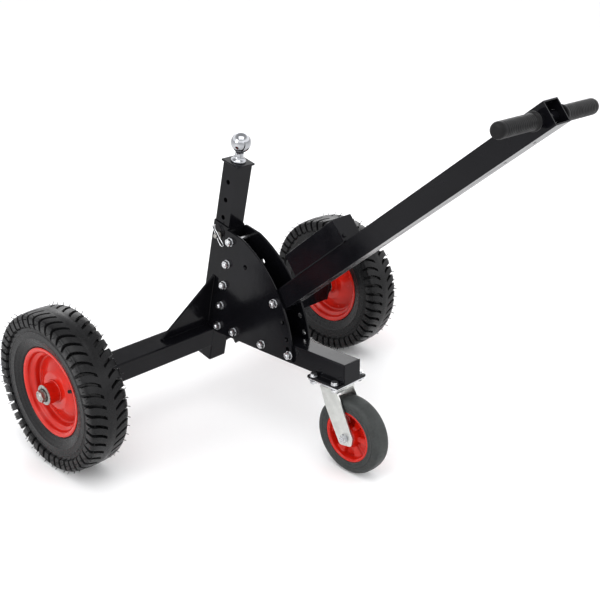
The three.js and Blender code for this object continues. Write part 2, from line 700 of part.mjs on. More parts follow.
for (const [side, sign] of SIDES) {
  const wheel = frame(dolly, sign * WHEEL_OFFSET, 0, TYRE_RADIUS);
  const outward = (points) => points.map(([along, radius]) => [sign * along, radius]);
  piece(wheel, `tyre_${side}`, turnedX(outward(tyreProfile), 28), 'black_tyre');

  // The valve leans out of the drop centre towards the outer face.
  const valve = turnedZ([[-10, 0], [-10, 6], [-3, 6], [-3, 4], [30, 4], [30, 0]], 10);
  const valveHole = barZ(-2.9, 21, 4.5, 0, 0, 10);
  const lean = (body) => body
    .rotate([90, 0, 0])
    .rotate([0, 0, -sign * 22])
    .translate([sign * 8, -DROP_CENTRE_RADIUS - 2.5, 0])
    .rotate([-VALVE_TURN, 0, 0]);
  const rim = turnedX(outward(rimProfile), 28).subtract(lean(valveHole.scale([1, 1, -1])));
  piece(wheel, `rim_${side}`, rim, 'red_enamel');
  piece(wheel, `valve_stem_${side}`, lean(valve.scale([1, 1, -1])), 'black_rubber');

  const hubProfile = [
    [-sign * HUB_INNER_END, HUB_BORE],
    [-sign * HUB_INNER_END, HUB_RADIUS],
    [sign * HUB_OUTER_END, HUB_RADIUS],
    [sign * HUB_OUTER_END, HUB_BORE],
    [-sign * HUB_INNER_END, HUB_BORE],
  ];
  piece(wheel, `hub_${side}`, turnedX(hubProfile, 24), 'red_enamel');

  // Each bearing is flanged: its flange lies on the end of the hub tube.
  const bearingPlaces = [
    ['outer', sign, HUB_OUTER_END],
    ['inner', -sign, HUB_INNER_END],
  ];
  for (const [place, direction, hubEnd] of bearingPlaces) {
    const near = direction * (hubEnd + BEARING_PROUD - BEARING_WIDTH);
    const seat = direction * (hubEnd + GAP);
    const flangeEnd = direction * (hubEnd + BEARING_PROUD - 1);
    const far = direction * (hubEnd + BEARING_PROUD);
    const bearing = turnedX([
      [near, SHAFT_RADIUS + GAP],
      [near, HUB_BORE - GAP],
      [seat, HUB_BORE - GAP],
      [seat, BEARING_FLANGE],
      [flangeEnd, BEARING_FLANGE],
      [flangeEnd, HUB_BORE - GAP],
      [far, HUB_BORE - GAP],
      [far, SHAFT_RADIUS + GAP],
      [near, SHAFT_RADIUS + GAP],
    ], 24);
    piece(wheel, `bearing_${place}_${side}`, bearing, 'zinc_plate');
  }

  const [shaftFrom, shaftTo] = span(sign, SHAFT_INNER_END, SHAFT_OUTER_END);
  const innerBearingFace = WHEEL_OFFSET - HUB_INNER_END - BEARING_PROUD;
  const collar = span(sign, BEAM_END + END_PLATE + 2 * GAP, innerBearingFace - GAP);
  const shaft = join([
    barX(shaftFrom, shaftTo, SHAFT_RADIUS, 0, TYRE_RADIUS, 24),
    barX(collar[0], collar[1], COLLAR_RADIUS, 0, TYRE_RADIUS, 24),
  ]);
  piece(dolly, `axle_shaft_${side}`, shaft, 'zinc_plate');

  const nutFace = WHEEL_OFFSET + HUB_OUTER_END + BEARING_PROUD + GAP;
  const nutBore = barX(shaftFrom, shaftTo, SHAFT_RADIUS + HOLE_CLEARANCE, 0, TYRE_RADIUS, 24);
  const nut = join([
    barX(...span(sign, nutFace, nutFace + NUT_FLANGE), NUT_FLANGE_RADIUS, 0, TYRE_RADIUS, 24),
    barX(...span(sign, nutFace + NUT_FLANGE - 0.1, nutFace + NUT_LENGTH), NUT_CORNER_RADIUS, 0, TYRE_RADIUS, 6),
  ]);
  piece(dolly, `axle_nut_${side}`, nut.subtract(nutBore), 'zinc_plate');
}

// ---------------------------------------------------------------- origin

const bounds = new THREE.Box3().setFromObject(dolly, true);
dolly.position.y = -(bounds.min.y + bounds.max.y) / 2;

export default dolly;
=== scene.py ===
import json
import math
import random

import bmesh
import bpy
from mathutils import Matrix, Vector


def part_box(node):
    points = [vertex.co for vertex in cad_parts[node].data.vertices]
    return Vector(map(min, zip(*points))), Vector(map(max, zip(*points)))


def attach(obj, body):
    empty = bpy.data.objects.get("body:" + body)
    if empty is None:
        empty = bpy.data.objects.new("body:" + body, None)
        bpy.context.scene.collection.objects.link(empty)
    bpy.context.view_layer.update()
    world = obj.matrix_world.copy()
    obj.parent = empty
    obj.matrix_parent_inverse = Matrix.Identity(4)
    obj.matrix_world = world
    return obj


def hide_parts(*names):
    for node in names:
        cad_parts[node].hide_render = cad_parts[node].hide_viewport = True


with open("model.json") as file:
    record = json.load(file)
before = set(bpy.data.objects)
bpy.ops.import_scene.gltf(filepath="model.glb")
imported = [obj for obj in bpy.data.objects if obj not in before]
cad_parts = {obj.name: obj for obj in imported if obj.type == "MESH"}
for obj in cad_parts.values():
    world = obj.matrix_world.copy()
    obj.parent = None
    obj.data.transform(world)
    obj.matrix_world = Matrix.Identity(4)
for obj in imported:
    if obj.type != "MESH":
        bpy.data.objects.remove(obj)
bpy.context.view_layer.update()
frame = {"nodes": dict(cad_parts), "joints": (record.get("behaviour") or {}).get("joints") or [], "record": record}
random.seed(7)

MM = 0.001
JOINTS = {j["name"]: j for j in frame["joints"]}
NODES = frame["nodes"]
BODY_OF = {n: b for b, ns in frame["record"]["behaviour"]["bodies"].items() for n in ns}
SLOT_OF = {s["node"]: s["material_slot"] for s in frame["record"]["subparts"]}
SIDES = (("left", -1), ("right", 1))

# ------------------------------------------------------------------ places

# Frames are in metres. Shapes are drawn in local millimetres in one of the frames.
WHEEL_CENTRE = {s: Vector(JOINTS[f"wheel_spin_{s}"]["pos_m"]) for s, _ in SIDES}
AXLE_Y = WHEEL_CENTRE["left"].y
AXLE_HEIGHT = WHEEL_CENTRE["left"].z
MAST_LEAN = math.radians(11.3)
TONGUE_RISE = math.radians(3)
TONGUE_HEIGHT = 0.239
HANDLE_ANGLE = math.radians(41.25)
CROSS_BAR_REACH = 1.1005
CROSS_BAR_ROLL = math.radians(1.2)
PIVOT = Vector(JOINTS["handle_raise"]["pos_m"])
SWIVEL = Vector(JOINTS["caster_swivel"]["pos_m"])
CASTER_CENTRE = Vector(JOINTS["caster_spin"]["pos_m"])


def place(origin, tilt=0.0):
    """A frame at a point, turned about the object's X axis."""
    return Matrix.Translation(Vector(origin)) @ Matrix.Rotation(tilt, 4, "X")


WORLD = Matrix.Identity(4)
SHAFT = place((0, AXLE_Y, AXLE_HEIGHT))
MAST = place((0, AXLE_Y, AXLE_HEIGHT), MAST_LEAN)
TONGUE = place((0, AXLE_Y, TONGUE_HEIGHT), -TONGUE_RISE)
HANDLE = place(PIVOT, -HANDLE_ANGLE)
BAR = HANDLE @ Matrix.Translation((0, -CROSS_BAR_REACH, 0)) @ Matrix.Rotation(CROSS_BAR_ROLL, 4, "Y")
CASTER = place(SWIVEL, -TONGUE_RISE)
CASTER_WHEEL = place(CASTER_CENTRE)
MAST_AXIS = MAST.to_3x3() @ Vector((0, 0, 1))
TONGUE_AXIS = TONGUE.to_3x3() @ Vector((0, 1, 0))
HANDLE_AXIS = HANDLE.to_3x3() @ Vector((0, 1, 0))
SWIVEL_AXIS = CASTER.to_3x3() @ Vector((0, 0, 1))

# ------------------------------------------------------------------ materials


class Nodes:
    """A short way to write node trees."""

    def __init__(self, name):
        self.material = bpy.data.materials.new(name)
        self.material.use_nodes = True
        self.tree = self.material.node_tree
        self.tree.nodes.clear()
        self.out = self.tree.nodes.new("ShaderNodeOutputMaterial")
        self.shader = self.tree.nodes.new("ShaderNodeBsdfPrincipled")
        self.tree.links.new(self.shader.outputs[0], self.out.inputs[0])
        self.coords = self.tree.nodes.new("ShaderNodeTexCoord").outputs["Object"]

    def set(self, **values):
        for key, value in values.items():
            self.shader.inputs[key.replace("_", " ")].default_value = value
        return self

    def link(self, source, socket):
        self.tree.links.new(source, socket)

    def noise(self, scale, detail=3.0, roughness=0.55):
        node = self.tree.nodes.new("ShaderNodeTexNoise")
        node.inputs["Scale"].default_value = scale
        node.inputs["Detail"].default_value = detail
        node.inputs["Roughness"].default_value = roughness
        self.link(self.coords, node.inputs["Vector"])
        return node.outputs["Fac"]

    def voronoi(self, scale):
        node = self.tree.nodes.new("ShaderNodeTexVoronoi")
        node.inputs["Scale"].default_value = scale
        self.link(self.coords, node.inputs["Vector"])
        return node.outputs["Distance"]

    def ramp(self, source, low, high, at=(0.3, 0.7)):
        node = self.tree.nodes.new("ShaderNodeValToRGB")
        for element, position, colour in zip(node.color_ramp.elements, at, (low, high)):
            element.position = position
            if not hasattr(colour, "__len__"):
                colour = (colour, colour, colour)
            element.color = (*colour, 1)
        self.link(source, node.inputs[0])
        return node.outputs[0]

    def blend(self, fac, a, b):
        node = self.tree.nodes.new("ShaderNodeMix")
        node.data_type = "RGBA"
        self.link(fac, node.inputs[0])
        for source, socket in ((a, node.inputs[6]), (b, node.inputs[7])):
            if hasattr(source, "__len__"):
                socket.default_value = (*source, 1)
            else:
                self.link(source, socket)
        return node.outputs[2]

    def colour(self, source):
        self.link(source, self.shader.inputs["Base Color"])
        return self

    def rough(self, source):
        self.link(source, self.shader.inputs["Roughness"])
        return self

    def bump(self, *layers):
        """Each layer is (height, strength, distance in metres)."""
        normal = None
        for height, strength, distance in layers:
            node = self.tree.nodes.new("ShaderNodeBump")
            node.inputs["Strength"].default_value = strength
            node.inputs["Distance"].default_value = distance
            self.link(height, node.inputs["Height"])
            if normal:
                self.link(normal, node.inputs["Normal"])
            normal = node.outputs[0]
        self.link(normal, self.shader.inputs["Normal"])
        return self


def powder_coat():
    m = Nodes("black_powder_coat")
    dust = m.ramp(m.voronoi(95), 1.0, 0.0, at=(0.028, 0.055))
    base = m.ramp(m.noise(7, 4), (0.0045, 0.0045, 0.0058), (0.0085, 0.0085, 0.0110))
    m.colour(m.blend(dust, base, (0.035, 0.035, 0.04)))
    m.rough(m.ramp(m.noise(34, 5), 0.10, 0.20))
    m.bump((m.noise(420, 2), 0.10, 0.0004), (m.noise(60, 3), 0.03, 0.0008))
    return m.set(IOR=1.42, Specular_IOR_Level=0.30).material


def zinc(name, low, high, rough_low, rough_high, bump=0.12):
    m = Nodes(name).set(Metallic=1.0)
    m.colour(m.ramp(m.noise(55, 5), low, high))
    m.rough(m.ramp(m.noise(120, 4), rough_low, rough_high))
    m.bump((m.noise(700, 2), bump, 0.0002))
    return m.material


def chrome():
    m = Nodes("bright_chrome").set(Metallic=1.0)
    m.colour(m.ramp(m.noise(30, 2), (0.36, 0.37, 0.39), (0.47, 0.475, 0.49)))
    m.rough(m.ramp(m.noise(160, 4), 0.03, 0.07))
    m.bump((m.noise(500, 2), 0.02, 0.0001))
    return m.material


def red_enamel():
    m = Nodes("red_enamel")
    m.colour(m.ramp(m.noise(16, 4), (0.44, 0.010, 0.0035), (0.58, 0.018, 0.006)))
    m.rough(m.ramp(m.noise(45, 4), 0.18, 0.28))
    m.bump((m.noise(380, 2), 0.10, 0.0004), (m.noise(38, 3), 0.06, 0.001))
    return m.set(IOR=1.42, Coat_Weight=0.22, Coat_Roughness=0.05).material


def rubber(name, low, high, rough_low, rough_high, gloss=0.4):
    m = Nodes(name)
    dust = m.ramp(m.noise(9, 6, 0.65), 0.0, 1.0, at=(0.42, 0.72))
    fine = m.ramp(m.noise(170, 4), low, high)
    lighter = tuple(c * 1.3 for c in high)
    m.colour(m.blend(dust, fine, lighter))
    m.rough(m.ramp(m.noise(80, 4), rough_low, rough_high))
    m.bump((m.noise(900, 3), 0.35, 0.0003), (m.noise(120, 3), 0.12, 0.0006))
    return m.set(IOR=1.42, Specular_IOR_Level=gloss).material


MATERIALS = {
    "black_powder_coat": powder_coat(),
    "zinc_plate": zinc("zinc_plate", (0.52, 0.53, 0.55), (0.72, 0.725, 0.73), 0.18, 0.36),
    "fork_zinc": zinc("fork_zinc", (0.58, 0.59, 0.57), (0.70, 0.71, 0.69), 0.30, 0.44, 0.2),
    "bearing_steel": zinc("bearing_steel", (0.28, 0.27, 0.255), (0.44, 0.43, 0.41), 0.22, 0.38),
    "bright_chrome": chrome(),
    "red_enamel": red_enamel(),
    "black_tyre": rubber("black_tyre", (0.0065, 0.0065, 0.0072), (0.0115, 0.0115, 0.0122), 0.22, 0.36),
    "grey_tyre": rubber("grey_tyre", (0.034, 0.037, 0.036), (0.052, 0.056, 0.055), 0.40, 0.56),
    "black_rubber": rubber(
        "black_rubber", (0.004, 0.004, 0.0045), (0.009, 0.009, 0.0095), 0.36, 0.52, gloss=0.36
    ),
}

# ------------------------------------------------------------------ mesh building


def finish_mesh(bm, name, where, body, slot, nodes=(), material=None, sharp=34, flat=False):
    """Turns a mesh in local millimetres into a piece in the object's place that rides on its body."""
    bmesh.ops.remove_doubles(bm, verts=bm.verts, dist=0.002)
    bmesh.ops.recalc_face_normals(bm, faces=bm.faces)
    mesh = bpy.data.meshes.new(name)
    bm.to_mesh(mesh)
    bm.free()
    mesh.transform(where @ Matrix.Scale(MM, 4))
    smooth = [polygon.use_smooth or not flat for polygon in mesh.polygons]
    mesh.set_sharp_from_angle(angle=math.radians(sharp))
    mesh.polygons.foreach_set("use_smooth", smooth)
    mesh.materials.append(MATERIALS[material or slot])
    piece = bpy.data.objects.new(name, mesh)
    bpy.context.scene.collection.objects.link(piece)
    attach(piece, body)
    if nodes:
        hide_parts(*nodes)
    return piece


def grid_faces(bm, rows, closed_rows=False, closed_columns=True):
    """Joins rows of vertices with quads."""
    count = len(rows)
    width = len(rows[0])
    for i in range(count if closed_rows else count - 1):
        a, b = rows[i], rows[(i + 1) % count]
        for j in range(width if closed_columns else width - 1):
            k = (j + 1) % width
            bm.faces.new((a[j], a[k], b[k], b[j]))


def round_about(bm, profile, segments=96, offset=(0, 0, 0), axis="x", closed=None):
    """A turned shape from [along, radius] points; ends are closed with a face unless it is a ring."""
    if closed is None:
        closed = profile[0] == profile[-1]
    points = profile[:-1] if closed else profile
    ox, oy, oz = offset
    rows = []
    for along, radius in points:
        row = []
        for j in range(segments):
            angle = 2 * math.pi * j / segments
            c, s = radius * math.cos(angle), radius * math.sin(angle)
            at = {"x": (along, c, s), "y": (c, along, s), "z": (c, s, along)}[axis]
            row.append(bm.verts.new((at[0] + ox, at[1] + oy, at[2] + oz)))
        rows.append(row)
    grid_faces(bm, rows, closed_rows=closed)
    if not closed:
        bm.faces.new(rows[0])
        bm.faces.new(rows[-1])


def soft_profile(points, radius=1.0, steps=3):
    """Rounds each inner corner of an open profile."""
    out = [points[0]]
    for before, here, after in zip(points, points[1:], points[2:]):
        h = Vector(here)
        a, b = Vector(before) - h, Vector(after) - h
        reach = min(radius, a.length * 0.45, b.length * 0.45)
        if a.length < 1e-6 or b.length < 1e-6 or a.normalized().dot(b.normalized()) < -0.995:
            out.append(here)
            continue
        p, q = h + a.normalized() * reach, h + b.normalized() * reach
        for i in range(steps + 1):
            t = i / steps
            s = p * (1 - t) ** 2 + h * 2 * t * (1 - t) + q * t * t
            out.append((s.x, s.y))
    out.append(points[-1])
    return out


def soft_ring(points, radius=1.0, steps=3):
    """The same for a closed profile, given once round without a repeated end."""
    wrapped = [points[-1], *points, points[0]]
    inner = soft_profile(wrapped, radius, steps)[1:-1]
    return [*inner, inner[0]]


def hexagon(bm, x0, x1, radius, bore, offset=(0, 0), axis="x", turn=0.0):
    """A chamfered hexagon from x0 (seat) to x1 (free end), radius over corners."""
    flat = radius * math.cos(math.pi / 6)
    chamfer_start, chamfer_slope = flat * 0.985, 0.62
    segments = 60
    way = 1 if x1 > x0 else -1
    height = abs(x1 - x0)
    rings = [[], [], [], [], [], []]
    for j in range(segments):
        angle = 2 * math.pi * j / segments
        local = (angle + turn) % (math.pi / 3) - math.pi / 6
        edge = flat / math.cos(local)
        drop = max(0.0, edge - chamfer_start) * chamfer_slope
        stations = [
            (0, bore),
            (0, flat * 0.97),
            (0, edge),
            (height - drop, edge),
            (height, flat * 0.955),
            (height, bore),
        ]
        for ring, (along, r) in zip(rings, stations):
            c, s = r * math.cos(angle) + offset[0], r * math.sin(angle) + offset[1]
            t = x0 + way * along
            at = {"x": (t, c, s), "y": (c, t, s), "z": (c, s, t)}[axis]
            ring.append(bm.verts.new(at))
    grid_faces(bm, rings, closed_rows=bore > 0)
    if bore <= 0:
        bm.faces.new(rings[0])


def across(offset, axis):
    """An offset in the plane across an axis, as a vector."""
    return {"x": (0, *offset), "y": (offset[0], 0, offset[1]), "z": (*offset, 0)}[axis]


def threaded(bm, x0, x1, radius, offset=(0, 0), axis="x", pitch=1.75):
    """A threaded end from x0 to x1 with a pointed tip."""
    way = 1 if x1 > x0 else -1
    length = abs(x1 - x0) - 1.2
    turns = max(1, int(length / pitch))
    step = length / turns
    points = [(x0, radius * 0.86)]
    for i in range(turns):
        points.append((x0 + way * (i + 0.5) * step, radius))
        points.append((x0 + way * (i + 1) * step, radius * 0.87))
    points.append((x1, radius * 0.7))
    round_about(bm, points, 32, across(offset, axis), axis)


def washer(bm, x0, x1, radius, bore, offset=(0, 0), axis="x"):
    """A flat ring from x0 to x1 with softened corners."""
    shift = across(offset, axis)
    ring = soft_ring([(x0, bore), (x0, radius), (x1, radius), (x1, bore)], 0.35, 2)
    round_about(bm, ring, 48, shift, axis)


FLAT_WITHIN = math.radians(0.6)
SHARP_EDGE = math.radians(40)
LONG_EDGE = 12.0
LARGEST_ROUNDED_FACE = 420.0


def refine(node, axis=None, corner=3.5, edge=0.5, name=None, material=None, sharp=30, steps=4):
    """A CAD plate or tube again with its long corners rounded and its other edges broken."""
    bm = bmesh.new()
    bm.from_mesh(NODES[node].data)
    bmesh.ops.scale(bm, vec=(1000, 1000, 1000), verts=bm.verts)
    bmesh.ops.remove_doubles(bm, verts=bm.verts, dist=0.004)
    bmesh.ops.dissolve_limit(
        bm, angle_limit=FLAT_WITHIN, verts=bm.verts, edges=bm.edges, use_dissolve_boundaries=False
    )
    if axis is not None:
        way = Vector(axis).normalized()
        long_edges = []
        for e in bm.edges:
            along = e.verts[1].co - e.verts[0].co
            if e.is_convex and along.length > LONG_EDGE and abs(along.normalized().dot(way)) > 0.999:
                long_edges.append(e)
        bmesh.ops.bevel(
            bm, geom=long_edges, offset=corner, offset_type="OFFSET", segments=steps, profile=0.5,
            affect="EDGES", clamp_overlap=True,
        )
    small = [
        e for e in bm.edges
        if e.is_convex and e.is_manifold and e.calc_face_angle(0) > SHARP_EDGE
    ]
    bmesh.ops.bevel(
        bm, geom=small, offset=edge, offset_type="OFFSET", segments=2, profile=0.5, affect="EDGES",
        clamp_overlap=True,
    )
    for face in bm.faces:
        face.smooth = len(face.verts) <= 4 and face.calc_area() < LARGEST_ROUNDED_FACE
    piece_name = name or f"{node}_skin"
    return finish_mesh(
        bm, piece_name, WORLD, BODY_OF[node], SLOT_OF[node], (node,), material, sharp, flat=True
    )


BEAD_STEP = 1.6
BEAD_SIDES = 10


def bead(name, points, where, body, radius=2.6, slot="black_powder_coat"):
    """A weld: a rippled rod laid along a line of points."""
    bm = bmesh.new()
    path = [Vector(p) for p in points]
    travelled = 0.0
    for start, end in zip(path, path[1:]):
        length = (end - start).length
        way = (end - start).normalized()
        side = way.orthogonal().normalized()
        up = way.cross(side)
        count = max(2, int(length / BEAD_STEP))
        rings = []
        for i in range(count + 1):
            t = i / count
            ripple = 1 + 0.13 * math.sin((travelled + length * t) * 2.1) + random.uniform(-0.04, 0.04)
            size = radius * ripple * (0.35 if i in (0, count) else 1)
            at = start + (end - start) * t
            ring = [
                bm.verts.new(at + (side * math.cos(a) + up * math.sin(a)) * size)
                for a in [2 * math.pi * k / BEAD_SIDES for k in range(BEAD_SIDES)]
            ]
            rings.append(ring)
        grid_faces(bm, rings)
        bm.faces.new(rings[0])
        bm.faces.new(rings[-1])
        travelled += length
    return finish_mesh(bm, name, where, body, slot, sharp=60)


# ------------------------------------------------------------------ pneumatic tyres

TREAD_PITCHES = 48
PITCH_ANGLE = 2 * math.pi / TREAD_PITCHES
RIB_EDGE = 12.0
LUG_END = 50.0
LUG_SWEEP = 0.62
STAGGER = 0.5

# Across one pitch: places as fractions of the pitch, and how far down the groove each lies.
SLOT = (0.0, 0.022, 0.05, 0.16, 0.28, 0.308, 0.33, 0.44, 0.66, 0.88)
SLOT_DEPTH = (0.0, 0.12, 1.0, 1.0, 1.0, 0.12, 0.0, 0.0, 0.0, 0.0)

# Each point is [distance from the middle plane, radius, groove depth].
TYRE_FACE = (
    (33.1, 105.6, 0), (33.2, 111, 0), (34.0, 115.4, 0), (36.6, 117.4, 0), (38.2, 119.4, 0),
    (38.5, 122.6, 0), (41.2, 127.5, 0), (43.6, 133.5, 0), (45.2, 140, 0), (45.9, 140.6, 0),
    (46.0, 142.2, 0), (45.9, 142.9, 0), (46.4, 149, 0), (46.6, 156, 0), (47.3, 156.6, 0),
    (47.3, 158.4, 0), (46.5, 159, 0), (45.9, 165.4, 0), (45.6, 168.6, 0), (48.6, 169.6, 3.0),
    (50.6, 171.0, 5.6), (51.2, 178, 7.6), (51.2, 185, 10.0), (50.8, 191.5, 12.2), (49.8, 195.0, 13.2),
    (47.2, 197.4, 13.2), (42.5, 199.4, 12.6), (35, 200.9, 11.8), (27, 201.6, 11.0),
    (20.0, 202.1, 10.2), (15.6, 202.4, 8.8), (12.4, 202.5, 0), (8.0, 202.6, 0), (6.2, 202.8, 0),
    (2.4, 203, 0),
)
TYRE_INSIDE = ((22, 185), (36.5, 170), (37.5, 140), (26, 118), (26, 105.6))


def tread_section():
    """Half of the tyre's outline at the lug tops and at the groove floors."""
    tops = [Vector((x, r)) for x, r, _ in TYRE_FACE]
    floors = []
    inside_the_tyre = Vector((20, 150))
    for i, point in enumerate(tops):
        before = tops[max(i - 1, 0)]
        after = tops[min(i + 1, len(tops) - 1)]
        along = (after - before).normalized()
        inward = Vector((-along.y, along.x))
        if inward.dot(point - inside_the_tyre) > 0:
            inward = -inward
        floors.append(point + inward * TYRE_FACE[i][2])
    return tops, floors


def lug_turn(x, sgn):
    """How far round the tread, in pitches, the pattern has swept at this distance from the middle."""
    if x < RIB_EDGE:
        return LUG_SWEEP + STAGGER * (RIB_EDGE - sgn * x) / (2 * RIB_EDGE)
    reach = (LUG_END - min(LUG_END, x)) / (LUG_END - RIB_EDGE)
    return LUG_SWEEP * reach * reach + (0 if sgn > 0 else STAGGER)


def tyre(side, sign):
    """The tyre, with curved lugs that are staggered across a solid middle rib."""
    bm = bmesh.new()
    tops, floors = tread_section()
    rows = []
    turn = []
    for sgn in (1, -1):
        for top, floor in list(zip(tops, floors))[::sgn]:
            turn.append(lug_turn(top.x, sgn))
            rows.append([(sgn * top.x, top.y), (sgn * floor.x, floor.y)])
    inside = [(-x, r) for x, r in reversed(TYRE_INSIDE)] + list(TYRE_INSIDE)
    last = turn[-1]
    for k, point in enumerate(inside):
        turn.append(last + (turn[0] - last) * (k + 1) / (len(inside) + 1))
        rows.append([point, point])
    rings = []
    for (top, floor), swing in zip(rows, turn):
        ring = []
        for pitch in range(TREAD_PITCHES):
            for fraction, cut in zip(SLOT, SLOT_DEPTH):
                along = top[0] + (floor[0] - top[0]) * cut
                radius = top[1] + (floor[1] - top[1]) * cut
                angle = (pitch + fraction + swing) * PITCH_ANGLE
                at = (sign * along, -radius * math.sin(angle), radius * math.cos(angle))
                ring.append(bm.verts.new(at))
        rings.append(ring)
    grid_faces(bm, rings, closed_rows=True)
    where = place(WHEEL_CENTRE[side])
    nodes = (f"tyre_{side}",)
    finish_mesh(bm, f"tread_tyre_{side}", where, f"wheel_{side}", "black_tyre", nodes, sharp=38)


HAIRS_PER_PITCH = 3
HAIR_OFFSET = 0.66
MISSING_HAIRS = 0.1
HAIR_THICKNESS = (1.05, 0.75)
HAIR_REACH = 211.0
HAIR_REACH_AT_EDGE = 202.4
NEAR_FLOOR = -0.55
NEAR_REAR = 0.75


def hair(bm, root, slope, tip):
    """One three-sided hair that starts a little inside the rubber."""
    a = slope.orthogonal().normalized()
    b = slope.cross(a)
    root = root - slope * 1.5
    rings = []
    for centre, thickness in zip((root, tip), HAIR_THICKNESS):
        ring = []
        for k in range(3):
            angle = 2 * math.pi * k / 3
            outwards = a * math.cos(angle) + b * math.sin(angle)
            ring.append(bm.verts.new(centre + outwards * thickness))
        rings.append(ring)
    grid_faces(bm, rings)
    bm.faces.new(rings[0])
    bm.faces.new(rings[1])


def moulding_hairs(side, sign):
    """Hairs on the lug ends and shoulders, short where the tyre meets the floor and at the rear."""
    bm = bmesh.new()
    for count in range(TREAD_PITCHES * HAIRS_PER_PITCH):
        for sgn in (1, -1):
            if random.random() < MISSING_HAIRS:
                continue
            pitch = count / HAIRS_PER_PITCH + HAIR_OFFSET + random.uniform(-0.12, 0.12)
            angle = (pitch + (0 if sgn > 0 else STAGGER)) * PITCH_ANGLE
            up, rear = math.cos(angle), -math.sin(angle)
            on_lug_end = count % HAIRS_PER_PITCH != 1
            radius = random.uniform(176, 192) if on_lug_end else random.uniform(197, 199.5)
            along = 48.0 if on_lug_end else 44.5
            out = Vector((0, rear, up))
            side_way = Vector((sgn * sign, 0, 0))
            root = side_way * along + out * radius
            lift = random.uniform(0.1, 0.7) if on_lug_end else random.uniform(0.8, 1.8)
            slope = side_way + out * lift + out.cross(side_way) * random.uniform(-0.5, 0.5)
            slope.normalize()
            tip = root + slope * random.uniform(6.5, 11.5)
            at_edge = up < NEAR_FLOOR or rear > NEAR_REAR
            reach = HAIR_REACH_AT_EDGE if at_edge else HAIR_REACH
            shrink = min(1.0, reach / math.hypot(tip.y, tip.z))
            tip = Vector((tip.x, tip.y * shrink, tip.z * shrink))
            hair(bm, root, slope, tip)
    where = place(WHEEL_CENTRE[side])
    finish_mesh(bm, f"moulding_hairs_{side}", where, f"wheel_{side}", "black_tyre")


# ------------------------------------------------------------------ rims, hubs and wheel axles

HUB_RADIUS = 26.0
HUB_BORE = 21.3
HUB_ENDS = {"outer": 50.0, "inner": 39.0}
SHAFT_RADIUS = 10.0
SHAFT_ENDS = (380.0, 555.0)
COLLAR = (434.7, 445.2)
COLLAR_RADIUS = 13.0
THREAD_START = 541.0
THREAD_TURNS = 7
NUT_SEAT = 541.6


def rim(side, sign):
    """A dished rim pressed from two halves."""
    face = [
        (31.5, 105.0), (33.3, 109.5), (33.4, 113.0), (34.2, 114.4), (35.6, 114.5), (36.6, 113.4),
        (36.7, 110.5), (35.9, 106.2), (33.2, 103.0), (29.5, 101.9), (25.5, 101.2), (22.6, 98.2),
        (20.8, 93.4), (18.6, 90.6), (14.5, 89.7), (8.0, 89.2), (5.0, 88.2), (3.9, 85.8), (4.7, 82.6),
        (7.4, 77.0), (10.6, 70.0), (13.8, 62.6), (16.6, 56.0), (18.6, 51.4), (20.2, 48.9),
        (21.4, 47.2), (21.8, 44.0), (21.7, 36.0), (21.6, 30.0), (21.6, 26.4),
    ]
    back = [(18.8, 26.4), (18.4, 44.0), (16.2, 50.2), (10.2, 64.0), (1.6, 82.0), (0.2, 84.0)]
    barrel_outside = [(18.0, 92.6), (20.6, 98.0), (24.0, 104.4), (28.5, 105.0)]
    outline = barrel_outside + face + back
    ring = outline + [(-a, r) for a, r in reversed(outline)]
    bm = bmesh.new()
    round_about(bm, [(sign * a, r) for a, r in ring + ring[:1]], 144)
    where = place(WHEEL_CENTRE[side])
    nodes = (f"rim_{side}",)
    finish_mesh(bm, f"pressed_rim_{side}", where, f"wheel_{side}", "red_enamel", nodes, sharp=50)


def hub(side, sign):
    """The hub tube, with a rippled weld bead where each face of the rim meets it."""
    bm = bmesh.new()
    inner, outer = -HUB_ENDS["inner"], HUB_ENDS["outer"]
    corners = [(inner, HUB_BORE), (inner, HUB_RADIUS), (outer, HUB_RADIUS), (outer, HUB_BORE)]
    round_about(bm, [(sign * a, r) for a, r in soft_ring(corners, 0.7, 3)], 96)
    bead_radius = 2.5
    for way in (1, -1):
        bead_ring = []
        for k in range(8):
            a = 2 * math.pi * k / 8
            bead_ring.append((way * 22.4 + bead_radius * math.cos(a), 27.4 + bead_radius * math.sin(a)))
        round_about(bm, bead_ring + bead_ring[:1], 120)
    for v in bm.verts:
        if math.hypot(v.co.y, v.co.z) > HUB_RADIUS + 0.6:
            wave = 1 + 0.012 * math.sin(34 * math.atan2(v.co.z, v.co.y))
            v.co.y *= wave
            v.co.z *= wave
    where = place(WHEEL_CENTRE[side])
    nodes = (f"hub_{side}",)
    finish_mesh(bm, f"hub_tube_{side}", where, f"wheel_{side}", "red_enamel", nodes, sharp=45)


